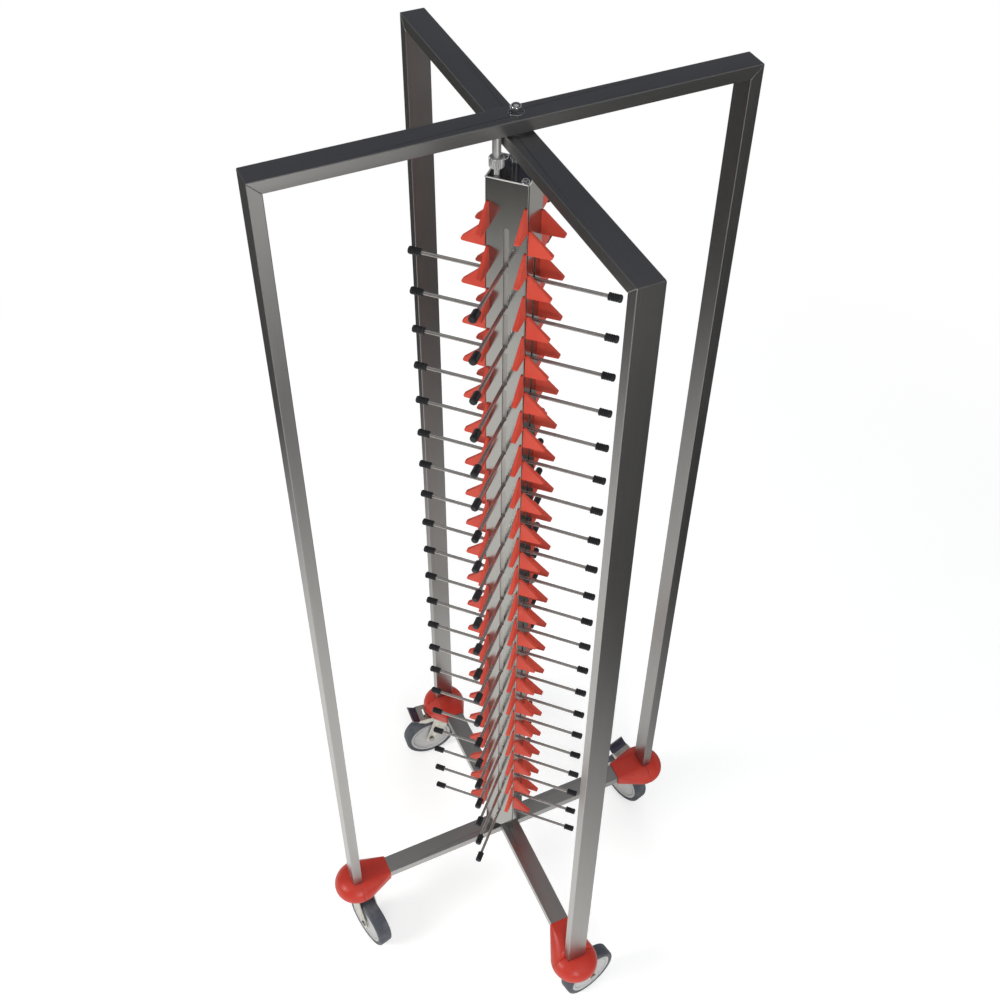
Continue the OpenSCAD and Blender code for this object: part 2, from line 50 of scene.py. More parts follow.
FACE_WEIGHT = 90
WHITE = (1.0, 1.0, 1.0, 1.0)
MIX_FACTOR, MIX_LOW, MIX_HIGH, MIX_RESULT = 0, 6, 7, 2

Colour = tuple[float, float, float]


class Corner(Enum):
    """The four caster corners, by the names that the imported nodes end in."""

    FRONT_LEFT = "front_left"
    FRONT_RIGHT = "front_right"
    BACK_RIGHT = "back_right"
    BACK_LEFT = "back_left"


class Run(Enum):
    """The way a tube or sheet was brushed, as a turn about Z in degrees, or upright."""

    OUTER_BAR = 45.0
    INNER_BAR = -45.0
    UPRIGHT = None


class Field:
    """A shader socket that arithmetic can be written with."""

    def __init__(self, graph: "Graph", socket: bpy.types.NodeSocket) -> None:
        """Wraps a socket.

        Args:
            graph: The graph that the socket's node belongs to.
            socket: The output socket.
        """
        self.graph = graph
        self.socket = socket

    def maths(self, operation: str, *values: "Field | float") -> "Field":
        """Adds a Math node.

        Args:
            operation: Blender's name of the operation.
            values: Its inputs in order.

        Returns:
            The node's output.
        """
        return self.graph.node("ShaderNodeMath", {"operation": operation}, dict(enumerate(values)))

    def __add__(self, other: "Field | float") -> "Field":
        """self + other."""
        return self.maths("ADD", self, other)

    def __radd__(self, other: float) -> "Field":
        """other + self."""
        return self.maths("ADD", other, self)

    def __mul__(self, other: "Field | float") -> "Field":
        """self * other."""
        return self.maths("MULTIPLY", self, other)

    def __rmul__(self, other: float) -> "Field":
        """other * self."""
        return self.maths("MULTIPLY", other, self)

    def clamped(self) -> "Field":
        """The value held between 0 and 1."""
        return self.graph.node("ShaderNodeClamp", {}, {"Value": self})

    def between(self, low: float, high: float, to_low: float = 0.0, to_high: float = 1.0) -> "Field":
        """Maps a stretch of the value smoothly to another, and holds it there outside.

        Args:
            low: Value that gives to_low.
            high: Value that gives to_high.
            to_low: Result at low.
            to_high: Result at high.

        Returns:
            The mapped value.
        """
        return self.graph.node("ShaderNodeMapRange", {"interpolation_type": "SMOOTHSTEP"}, {
            "Value": self, "From Min": low, "From Max": high, "To Min": to_low, "To Max": to_high})


class Graph:
    """The node tree of one material or world."""

    def __init__(self, tree: bpy.types.NodeTree) -> None:
        """Empties the tree.

        Args:
            tree: The node tree to write in.
        """
        self.tree = tree
        tree.nodes.clear()

    def node(self, kind: str, settings: dict, inputs: dict, output: str | int = 0) -> Field:
        """Adds any node.

        Args:
            kind: The node's type.
            settings: Properties set before the sockets. "stops" are a ramp's positions and colours.
            inputs: Values or fields by socket name or number.
            output: The output socket wanted.

        Returns:
            That output.
        """
        made = self.tree.nodes.new(kind)
        for key, value in settings.items():
            if key == "stops":
                self._stops(made.color_ramp, value)
            else:
                setattr(made, key, value)
        for key, value in inputs.items():
            if isinstance(value, Field):
                self.tree.links.new(value.socket, made.inputs[key])
            else:
                made.inputs[key].default_value = value
        return Field(self, made.outputs[output]) if made.outputs else None

    def _stops(self, ramp: bpy.types.ColorRamp, stops: list[tuple[float, Colour]]) -> None:
        """Sets a ramp's stops, which come in rising order and end at 0 and 1."""
        for place, _ in stops[1:-1]:
            ramp.elements.new(place)
        for element, (_, colour) in zip(ramp.elements, stops):
            element.color = (*colour, 1.0)

    def place(self, turn: float = 0.0, scale: Colour = (1.0, 1.0, 1.0)) -> Field:
        """The point on the object, turned about Z and scaled.

        Args:
            turn: Turn in degrees that brings the grain's run onto X.
            scale: Scale along each axis after the turn.

        Returns:
            The point as a vector.
        """
        point = self.node("ShaderNodeTexCoord", {}, {}, "Object")
        turned = self.node("ShaderNodeVectorRotate", {"rotation_type": "Z_AXIS"}, {
            "Vector": point, "Angle": math.radians(-turn)})
        return self.node("ShaderNodeVectorMath", {"operation": "MULTIPLY"}, {0: turned, 1: scale})

    def noise(self, point: Field, scale: float, detail: float = 2.0, rough: float = 0.5) -> Field:
        """Noise from 0 to 1 at a point."""
        return self.node("ShaderNodeTexNoise", {}, {
            "Vector": point, "Scale": scale, "Detail": detail, "Roughness": rough})

    def length(self, vector: Field) -> Field:
        """A vector's length."""
        return self.node("ShaderNodeVectorMath", {"operation": "LENGTH"}, {0: vector}, "Value")

    def blend(self, factor: Field, low: Colour, high: Colour) -> Field:
        """A colour between two, by a factor."""
        return self.node("ShaderNodeMix", {"data_type": "RGBA"}, {
            MIX_FACTOR: factor, MIX_LOW: (*low, 1.0), MIX_HIGH: (*high, 1.0)}, MIX_RESULT)

    def bump(self, height: Field, strength: float, distance: float) -> Field:
        """A normal from a height, in metres of distance."""
        return self.node("ShaderNodeBump", {}, {
            "Height": height, "Strength": strength, "Distance": distance})

    def surface(self, **sockets: "Field | float | Colour") -> None:
        """Adds the surface shader and the output.

        Args:
            sockets: Shader sockets, with underscores for the spaces in their names.
        """
        inputs = {}
        for key, value in sockets.items():
            inputs[key.replace("_", " ")] = (*value, 1.0) if isinstance(value, tuple) else value
        shader = self.node("ShaderNodeBsdfPrincipled", {}, inputs)
        self.node("ShaderNodeOutputMaterial", {}, {"Surface": shader})


@dataclass(frozen=True)
class Finish:
    """A surface finish that knows how to write its own nodes."""

    name: str

    def write(self, graph: Graph) -> None:
        """Writes the finish's nodes."""
        raise NotImplementedError

    def material(self) -> bpy.types.Material:
        """The finish as a material, made once.

        Returns:
            The material.
        """
        made = bpy.data.materials.get(self.name)
        if made is None:
            made = bpy.data.materials.new(self.name)
            made.use_nodes = True
            self.write(Graph(made.node_tree))
        return made


@dataclass(frozen=True)
class BrushedSteel(Finish):
    """Stainless tube or sheet with grain along one way and a faint stain over it."""

    run: Run = Run.UPRIGHT
    dark: Colour = (0.36, 0.36, 0.36)
    light: Colour = (0.50, 0.495, 0.485)
    polish: float = 0.25
    spread: float = 0.07
    grain_across: float = 1100.0
    grain_along: float = 9.0
    grain_depth: float = 0.03
    grain_height: float = 0.00012
    grain_share: float = 0.7
    stain_share: float = 0.3
    stain_scale: float = 5.0
    stain_dulls: float = 0.05
    metal: float = 0.97

    def write(self, graph: Graph) -> None:
        """Writes the grain, the stain and the metal."""
        if self.run is Run.UPRIGHT:
            scale = (self.grain_across, self.grain_across, self.grain_along)
            point = graph.place(0.0, scale)
        else:
            scale = (self.grain_along, self.grain_across, self.grain_across)
            point = graph.place(self.run.value, scale)
        grain = graph.noise(point, 1.0, 3.0, 0.6)
        stain = graph.noise(graph.place(), self.stain_scale, 3.0, 0.55)
        shade = grain * self.grain_share + stain * self.stain_share
        graph.surface(
            Base_Color=graph.blend(shade.clamped(), self.dark, self.light),
            Metallic=self.metal,
            Roughness=self.polish + self.spread * grain + stain * self.stain_dulls,
            Normal=graph.bump(grain, self.grain_depth, self.grain_height),
        )


@dataclass(frozen=True)
class Plated(Finish):
    """Bright plated metal, from chrome to dull zinc."""

    colour: Colour = (0.72, 0.72, 0.72)
    stained: Colour = (0.55, 0.55, 0.54)
    polish: float = 0.10
    spread: float = 0.08
    mottle: float = 60.0
    patches: tuple[float, float] = (0.35, 0.7)
    dents: float = 0.06
    dent_height: float = 0.0002
    metal: float = 1.0

    def write(self, graph: Graph) -> None:
        """Writes the mottling, the shallow dents and the metal."""
        mottle = graph.noise(graph.place(), self.mottle, 4.0, 0.6)
        graph.surface(
            Base_Color=graph.blend(mottle.between(*self.patches), self.colour, self.stained),
            Metallic=self.metal,
            Roughness=self.polish + self.spread * mottle,
            Normal=graph.bump(mottle, self.dents, self.dent_height),
        )


@dataclass(frozen=True)
class Moulded(Finish):
    """Moulded plastic or rubber with a fine skin, faint flow marks and dulled spots."""

    colour: Colour = (0.60, 0.045, 0.025)
    faded: Colour = (0.66, 0.07, 0.04)
    polish: float = 0.30
    spread: float = 0.12
    skin: float = 900.0
    skin_depth: float = 0.00006
    skin_strength: float = 0.20
    skin_dulls: float = 0.04
    flow_scale: float = 14.0
    patches: tuple[float, float] = (0.3, 0.75)
    gloss: float = 0.5

    def write(self, graph: Graph) -> None:
        """Writes the skin, the flow marks and the plastic."""
        skin = graph.noise(graph.place(), self.skin, 2.0, 0.5)
        flow = graph.noise(graph.place(), self.flow_scale, 3.0, 0.6)
        graph.surface(
            Base_Color=graph.blend(flow.between(*self.patches), self.colour, self.faded),
            Roughness=self.polish + self.spread * flow + skin * self.skin_dulls,
            Specular_IOR_Level=self.gloss,
            Normal=graph.bump(skin, self.skin_strength, self.skin_depth),
        )


@dataclass(frozen=True)
class TreadRubber(Finish):
    """Grey tread rubber with dust worn into it."""

    colour: Colour = (0.060, 0.068, 0.083)
    dusty: Colour = (0.13, 0.135, 0.145)
    polish: float = 0.48
    dust_scale: float = 35.0
    dust_dulls: float = 0.2
    patches: tuple[float, float] = (0.4, 0.8)
    pores: float = 1400.0
    pore_strength: float = 0.25
    pore_depth: float = 0.00008

    def write(self, graph: Graph) -> None:
        """Writes the dust, the pores and the rubber."""
        dust = graph.noise(graph.place(), self.dust_scale, 4.0, 0.65)
        pores = graph.noise(graph.place(), self.pores, 2.0, 0.5)
        graph.surface(
            Base_Color=graph.blend(dust.between(*self.patches), self.colour, self.dusty),
            Roughness=self.polish + dust * self.dust_dulls,
            Normal=graph.bump(pores, self.pore_strength, self.pore_depth),
        )


@dataclass(frozen=True)
class StudioFloor(Finish):
    """Pale floor that goes on as the backdrop and keeps the stand's shadow."""

    colour: Colour = (0.80, 0.80, 0.79)
    glow: float = 0.42
    white_from: float = 1.3
    white_at: float = 2.8
    pools: tuple[tuple, ...] = (((-0.6, -0.9, 0.0), 0.8, 2.05, 1.0), ((2.6, -3.1, 0.0), 1.3, 2.0, 0.95),
                                ((0.9, 2.7, 0.0), 0.5, 1.6, 0.4))
    pool_tint: Colour = (1.0, 0.985, 0.955)
    far_level: float = 0.05

    def write(self, graph: Graph) -> None:
        """Writes the lit floor, which turns white far out, and the bright pools that metal mirrors."""
        lit = graph.node("ShaderNodeBsdfDiffuse", {}, {"Color": (*self.colour, 1.0)})
        glow = graph.node("ShaderNodeEmission", {}, {"Color": WHITE, "Strength": self.glow})
        close = graph.node("ShaderNodeAddShader", {}, {0: lit, 1: glow})
        backdrop = graph.node("ShaderNodeEmission", {}, {"Color": WHITE, "Strength": 1.0})
        flat = graph.place(0.0, (1.0, 1.0, 0.0))
        seen = graph.node("ShaderNodeMixShader", {}, {
            0: graph.length(flat).between(self.white_from, self.white_at), 1: close, 2: backdrop})
        level = self.far_level
        for centre, near, far, strength in self.pools:
            off = graph.node("ShaderNodeVectorMath", {"operation": "SUBTRACT"}, {0: flat, 1: centre})
            level = level + graph.length(off).between(near, far, strength, 0.0)
        mirrored = graph.node("ShaderNodeEmission", {}, {
            "Color": (*self.pool_tint, 1.0), "Strength": level})
        camera = graph.node("ShaderNodeLightPath", {}, {}, "Is Camera Ray")
        glossy = graph.node("ShaderNodeLightPath", {}, {}, "Is Glossy Ray")
        by_camera = graph.node("ShaderNodeMixShader", {}, {0: camera, 1: lit, 2: seen})
        by_ray = graph.node("ShaderNodeMixShader", {}, {0: glossy, 1: by_camera, 2: mirrored})
        graph.node("ShaderNodeOutputMaterial", {}, {"Surface": by_ray})


STEEL_UPRIGHT = BrushedSteel("tube steel upright")
STEEL_OUTER = BrushedSteel("tube steel outer bar", run=Run.OUTER_BAR)
STEEL_INNER = BrushedSteel("tube steel inner bar", run=Run.INNER_BAR)
COLUMN_SHEET = BrushedSteel(
    "column sheet", dark=(0.37, 0.37, 0.355), light=(0.45, 0.45, 0.435), polish=0.12, spread=0.05,
    metal=1.0)
RAIL_SHEET = BrushedSteel(
    "rail sheet", dark=(0.58, 0.58, 0.56), light=(0.68, 0.68, 0.66), polish=0.42, spread=0.10)
# Near-white and not metallic: a painted highlight for the bright line along the column's cut top edge,
# not the steel's own colour.
CUT_EDGE_HIGHLIGHT = Moulded("cut edge painted highlight", colour=(0.78, 0.78, 0.75), faded=(0.68, 0.68, 0.65), polish=0.30)
CHROME = Plated("chrome hardware", colour=(0.80, 0.80, 0.81), stained=(0.62, 0.62, 0.62), polish=0.09)
TREAD_STEEL = Plated(
    "pedal tread steel", colour=(0.21, 0.215, 0.30), stained=(0.15, 0.155, 0.21), polish=0.34)
BOLT = Plated(
    "bolt steel", colour=(0.42, 0.41, 0.39), stained=(0.30, 0.295, 0.28), polish=0.28, spread=0.10)
ROD_STEEL = Plated("rod steel", colour=(0.62, 0.60, 0.575), stained=(0.52, 0.50, 0.48), polish=0.13,
                   mottle=24.0, dents=0.01, metal=0.86)
KNURL = Plated(
    "knurled steel", colour=(0.84, 0.84, 0.83), stained=(0.72, 0.72, 0.71), polish=0.26, metal=0.80)
ZINC = Plated("zinc sheet", colour=(0.72, 0.70, 0.64), stained=(0.54, 0.525, 0.48), polish=0.34,
              spread=0.14, mottle=90.0)
RED_CLIP = Moulded(
    "red clip plastic", colour=(0.60, 0.052, 0.028), faded=(0.66, 0.078, 0.044), polish=0.34)
RED_BUMPER = Moulded(
    "red bumper plastic", colour=(0.49, 0.029, 0.016), faded=(0.55, 0.044, 0.026), polish=0.26)
CAP_RUBBER = Moulded("cap rubber", colour=(0.010, 0.011, 0.013), faded=(0.022, 0.023, 0.026),
                     polish=0.34, skin=1500.0)
WHEEL_PLASTIC = Moulded(
    "wheel plastic", colour=(0.50, 0.50, 0.50), faded=(0.58, 0.58, 0.57), polish=0.36)
TYRE = TreadRubber("tread rubber")


def soften(piece: bpy.types.Object, width: float, angle: float = 32.0) -> None:
    """Rounds a piece's edges without touching its own vertices.

    Args:
        piece: The piece, packed or made here.
        width: Width of the rounding in metres.
        angle: Edges flatter than this many degrees stay as they are.
    """
    piece.data.shade_smooth()
    weld = piece.modifiers.new("weld", "WELD")
    weld.merge_threshold = WELD_REACH
    bevel = piece.modifiers.new("edges", "BEVEL")
    bevel.width = width
    bevel.segments = ROUNDING_STEPS
    bevel.limit_method = "ANGLE"
    bevel.angle_limit = math.radians(angle)
    shading = piece.modifiers.new("shading", "WEIGHTED_NORMAL")
    shading.keep_sharp = False
    shading.weight = FACE_WEIGHT


def dress(node: str, finish: Finish, edge: float = 0.0) -> None:
    """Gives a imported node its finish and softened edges.

    Args:
        node: The node's name.
        finish: Its finish.
        edge: Width of its edge rounding in metres, or 0 for none.
    """
    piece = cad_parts[node]
    piece.data.materials.clear()
    piece.data.materials.append(finish.material())
    if edge:
        soften(piece, edge)
    LOG.info("dressed %s in %s", node, finish.name)


class Workpiece:
    """A piece modelled here from solids, in metres and in the stand's own frame."""

    def __init__(self, name: str, body: str, slot: str, finish: Finish) -> None:
        """Starts an empty piece.

        Args:
            name: The piece's name.
            body: The body that it moves with.
            slot: The material slot that its finish stands for; it is kept but not used.
            finish: Its finish.
        """
        self.name = name
        self.body = body
        self.slot = slot
        self.finish = finish
        self.bm = bmesh.new()

    def hull(self, points: list[tuple], place: Matrix = Matrix()) -> None:
        """Adds the solid that a skin stretched over points encloses.

        Args:
            points: The points.
            place: Where their frame lies.
        """
        verts = [self.bm.verts.new(place @ Vector(point)) for point in points]
        made = bmesh.ops.convex_hull(self.bm, input=verts, use_existing_faces=False)
        spare = {v for key in ("geom_interior", "geom_unused") for v in made[key]
                 if isinstance(v, bmesh.types.BMVert)}
        bmesh.ops.delete(self.bm, geom=list(spare), context="VERTS")

    def block(self, low: tuple, high: tuple, place: Matrix = Matrix()) -> None:
        """Adds a block between two corners.

        Args:
            low: Its lowest corner.
            high: Its highest corner.
            place: Where their frame lies.
        """
        xs, ys, zs = zip(low, high)
        self.hull([(x, y, z) for x in xs for y in ys for z in zs], place)

    def turned(self, profile: list[tuple], place: Matrix = Matrix(), steps: int = 64) -> None:
        """Adds a full turn of a closed profile about Z.

        Args:
            profile: Its points as radius and height.
            place: Where the turn's frame lies.
            steps: Steps round the turn.
        """
        rings = []
        for step in range(steps):
            angle = 2 * math.pi * step / steps
            points = [(r * math.cos(angle), r * math.sin(angle), z) for r, z in profile]
            rings.append([self.bm.verts.new(place @ Vector(point)) for point in points])
        for here, there in zip(rings, rings[1:] + rings[:1]):
            for i in range(len(profile)):
                j = (i + 1) % len(profile)
                self.bm.faces.new((here[i], here[j], there[j], there[i]))
        bmesh.ops.remove_doubles(self.bm, verts=[v for ring in rings for v in ring], dist=POLE_REACH)
        bmesh.ops.delete(self.bm, geom=[e for e in self.bm.edges if e.is_wire], context="EDGES")

    def plate(self, outline: list[tuple], near: float, far: float, place: Matrix = Matrix()) -> None:
        """Adds an outline in X and Z, thickened along Y.

        Args:
            outline: Its points as X and Z.
            near: Y of one side.
            far: Y of the other side.
            place: Where the outline's frame lies.
        """
        sides = [[self.bm.verts.new(place @ Vector((x, y, z))) for x, z in outline] for y in (near, far)]
        self.bm.faces.new(sides[0])
        self.bm.faces.new(list(reversed(sides[1])))
        for i in range(len(outline)):
            j = (i + 1) % len(outline)
            self.bm.faces.new((sides[0][j], sides[0][i], sides[1][i], sides[1][j]))

    def loose(self) -> bpy.types.Object:
        """The solids so far as an object in the scene.

        Returns:
            The object.
        """
        bmesh.ops.recalc_face_normals(self.bm, faces=self.bm.faces)
        mesh = bpy.data.meshes.new(self.name)
        self.bm.to_mesh(mesh)
        made = bpy.data.objects.new(self.name, mesh)
        bpy.context.scene.collection.objects.link(made)
        return made

    def carve(self, cutters: list["Workpiece"]) -> None:
        """Cuts other pieces' solids out of this one.

        Args:
            cutters: The pieces to cut with.
        """
        body = self.loose()
        tools = [cutter.loose() for cutter in cutters]
        for tool in tools:
            cut = body.modifiers.new("cut", "BOOLEAN")
            cut.object = tool
            cut.operation = "DIFFERENCE"
            cut.solver = "EXACT"
        bpy.context.view_layer.update()
        carved = body.evaluated_get(bpy.context.evaluated_depsgraph_get())
        result = bpy.data.meshes.new_from_object(carved)
        self.bm.free()
        self.bm = bmesh.new()
        self.bm.from_mesh(result)
        bmesh.ops.remove_doubles(self.bm, verts=self.bm.verts, dist=MERGE_REACH)
        for spent in (body, *tools):
            bpy.data.objects.remove(spent)

    def done(self, *replaced: str, edge: float = 0.0, angle: float = 32.0) -> bpy.types.Object:
        """Finishes the piece and fixes it to its body.

        Args:
            replaced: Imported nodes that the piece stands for.
            edge: Width of its edge rounding in metres, or 0 for sharp edges.
            angle: Edges flatter than this many degrees are shaded as one surface.

        Returns:
            The piece.
        """
        piece = self.loose()
        self.bm.free()
        piece.data.shade_smooth()
        piece.data.materials.append(self.finish.material())
        if edge:
            soften(piece, edge, angle=angle)
        else:
            piece.data.set_sharp_from_angle(angle=math.radians(angle))
        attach(piece, self.body)
        if replaced:
            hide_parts(*replaced)
        LOG.info("made %s on %s", self.name, self.body)
        return piece


def turn(degrees: float, axis: str = "Z") -> Matrix:
    """A turn about an axis, in degrees."""
    return Matrix.Rotation(math.radians(degrees), 4, axis)


def shift(x: float = 0.0, y: float = 0.0, z: float = 0.0) -> Matrix:
    """A move in metres."""
    return Matrix.Translation((x, y, z))


def arc(centre: tuple, radii: tuple, start: float, stop: float, steps: int = 8) -> list[tuple]:
    """Points along a stretch of an ellipse.

    Args:
        centre: Its centre.
        radii: Its two half axes.
        start: Angle of the first point in degrees.
        stop: Angle of the last point in degrees.
        steps: Stretches between points.

    Returns:
        The points.
    """
    angles = [math.radians(start + (stop - start) * k / steps) for k in range(steps + 1)]
    return [(centre[0] + radii[0] * math.cos(a), centre[1] + radii[1] * math.sin(a)) for a in angles]


def metres(points: tuple[tuple, ...]) -> list[tuple]:
    """Points or spans given in millimetres, in metres."""
    return [tuple(value * MM for value in point) for point in points]


def hexagon(levels: list[tuple]) -> list[tuple]:
    """The corners of a six-sided solid, at levels given as corner radius and height."""
    ways = [math.radians(60 * k) for k in range(6)]
    return [(r * math.cos(a), r * math.sin(a), z) for a in ways for r, z in levels]


@dataclass
class Frames:
    """The two crossed tube frames."""

    edge: float = 1.1 * MM

    def build(self) -> None:
        """Dresses the bars and legs of both frames."""
        for side, bar in (("outer", STEEL_OUTER), ("inner", STEEL_INNER)):
            for piece in ("top_bar", "base_bar"):
                dress(f"{side}_frame_{piece}", bar, self.edge)
            for piece in ("left_leg", "right_leg"):
                dress(f"{side}_frame_{piece}", STEEL_UPRIGHT, self.edge)


@dataclass
class Column:
    """The slotted column, its end plates, and the hardware on the axis.

    Single sizes are in metres, and tables of points are in millimetres.
    """

    edge: float = 0.4 * MM
    top: float = 1914 * MM
    half: float = 32 * MM
    wall: float = 1.5 * MM
    rim_rise: float = 1.2 * MM
    frame_top: float = 2000 * MM
    lock_at: tuple[float, float] = (-19.5 * MM, -19.5 * MM)
    knob_r: float = 11 * MM
    knob_rise: tuple[float, float] = (12 * MM, 27.5 * MM)
    knob_rim: float = 1.4 * MM
    flutes: int = 24
    flute_dips: tuple[float, ...] = (0.0, 0.35, 1.0, 0.35)
    flute_deep: float = 0.9 * MM
    collar_r: tuple[float, float] = (5.4 * MM, 6.2 * MM)
    collar_bend: float = 0.8 * MM
    collar_gap: float = 3 * MM
    collar_top: float = 1972 * MM
    stem: tuple[float, float] = (1905 * MM, 1979.7 * MM)
    thread_r: tuple[float, float] = (3.5 * MM, 4.0 * MM)
    thread_pitch: float = 1.25 * MM
    thread_rise: float = 0.5 * MM
    washer: tuple[tuple, ...] = ((5.1, 0.1), (11, 0.1), (11, 1.6), (10.4, 2.0), (5.1, 2.0))
    nut_sides: tuple[tuple, ...] = ((9.24, 2.0), (9.24, 8.2), (8.1, 9.4))
    nut_neck: tuple[tuple, ...] = ((0.0, 9.0), (7.4, 9.0), (7.4, 9.8))
    nut_dome: tuple[float, float] = (7.4 * MM, 4.4 * MM)
    rail_thick: float = 4 * MM
    rail_half: float = 10 * MM
    rail_foot: float = 216.8 * MM
    rail_tops: tuple[float, float] = (1802.5 * MM, 1840 * MM)
    rail_out: float = 30 * MM
    hardware: tuple[str, ...] = (
        "column_plate_screws", "spindle", "crossing_washers", "spindle_sleeve", "spindle_foot_nut")

    def build(self) -> None:
        """Dresses the column and the hardware, and models what needs a finer form."""
        for node in ("column_shell", "column_top_plate", "column_foot_plate", "rail_spiders"):
            dress(node, COLUMN_SHEET)
        for node in self.hardware:
            dress(node, CHROME, self.edge)
        self.rim()
        self.rails()
        self.nut()
        self.knob()

    def rim(self) -> None:
        """Makes the cut edge that stands round the top plate, in near-white non-metal plastic as a
        painted highlight along it.
        """
        rim = Workpiece("column_rim", "stand", "column_steel", CUT_EDGE_HIGHLIGHT)
        low, high = self.top - 0.3 * MM, self.top + self.rim_rise
        out, into = self.half + 0.05 * MM, self.half - self.wall
        for quarter in range(4):
            rim.block((into, -out, low), (out, out, high), turn(90.0 * quarter))
        rim.done(edge=0.25 * MM)

    def rails(self) -> None:
        """Makes the rails that show through the slots."""
        rails = Workpiece("rail_strips", "rod_carriage", "column_steel", RAIL_SHEET)
        for face in range(4):
            rails.block((self.rail_out - self.rail_thick, -self.rail_half, self.rail_foot),
                        (self.rail_out, self.rail_half, self.rail_tops[face % 2]), turn(90.0 * face))
        rails.done("rod_rails", edge=0.4 * MM)

    def nut(self) -> None:
        """Makes the low domed nut with its washer."""
        nut = Workpiece("domed_nut", "top_nut", "hardware_chrome", CHROME)
        base = shift(z=self.frame_top)
        nut.turned(metres(self.washer), base)
        nut.hull(hexagon(metres(self.nut_sides)), base)
        neck = metres(self.nut_neck)
        nut.turned(neck + arc((0.0, neck[-1][1]), self.nut_dome, 10, 90), base)
        nut.done("top_nut", edge=0.35 * MM)

    def knob(self) -> None:
        """Makes the knurled lock screw, its collar and its thread."""
        knob = Workpiece("knurled_lock_screw", "lock_screw", "hardware_chrome", KNURL)
        low, high = (self.top + rise for rise in self.knob_rise)
        place = shift(*self.lock_at)
        rim = self.knob_rim
        edge = [(self.knob_r - rim, low), (self.knob_r, low + rim), (self.knob_r, high - rim),
                (self.knob_r - rim, high)]
        points, steps = [], self.flutes * len(self.flute_dips)
        for step in range(steps):
            angle = 2 * math.pi * step / steps
            dip = self.flute_dips[step % len(self.flute_dips)] * self.flute_deep
            points += [((r - dip) * math.cos(angle), (r - dip) * math.sin(angle), z) for r, z in edge]
        self._fluted(knob, points, len(edge), place)
        (small, full), bend = self.collar_r, self.collar_bend
        foot, top = high + self.collar_gap, self.collar_top
        knob.turned([(0.0, foot), (small, foot), (full, foot + bend), (full, top - bend), (small, top),
                     (0.0, top)], place)
        (start, stop), (root, crest) = self.stem, self.thread_r
        thread = []
        for k in range(int((stop - start) / self.thread_pitch)):
            z = start + k * self.thread_pitch
            thread += [(root, z), (crest, z + self.thread_rise)]
        knob.turned([(0.0, start), *thread, (root, stop), (0.0, stop)], place, 32)
        knob.done("fold_lock_screw", edge=0.2 * MM, angle=50.0)

    def _fluted(self, knob: Workpiece, points: list[tuple], rows: int, place: Matrix) -> None:
        """Adds a closed fluted drum.

        Args:
            knob: The piece to add it to.
            points: Its points, step by step round and from the bottom up in each step.
            rows: Points in a step.
            place: Where the drum's frame lies.
        """
        verts = [knob.bm.verts.new(place @ Vector(point)) for point in points]
        steps = [verts[k:k + rows] for k in range(0, len(verts), rows)]
        for here, there in zip(steps, steps[1:] + steps[:1]):
            for i in range(rows - 1):
                knob.bm.faces.new((here[i], there[i], there[i + 1], here[i + 1]))
        knob.bm.faces.new([step[0] for step in reversed(steps)])
        knob.bm.faces.new([step[-1] for step in steps])


@dataclass
class PlateBanks:
    """The rods with their caps, and the clips."""

    clip_edge: float = 0.8 * MM

    def build(self) -> None:
        """Dresses the rods, caps and clips on the four faces."""
        for face in ("front", "right", "back", "left"):
            dress(f"rods_{face}", ROD_STEEL)
            dress(f"clips_{face}", RED_CLIP, self.clip_edge)
        dress("rod_caps", CAP_RUBBER)


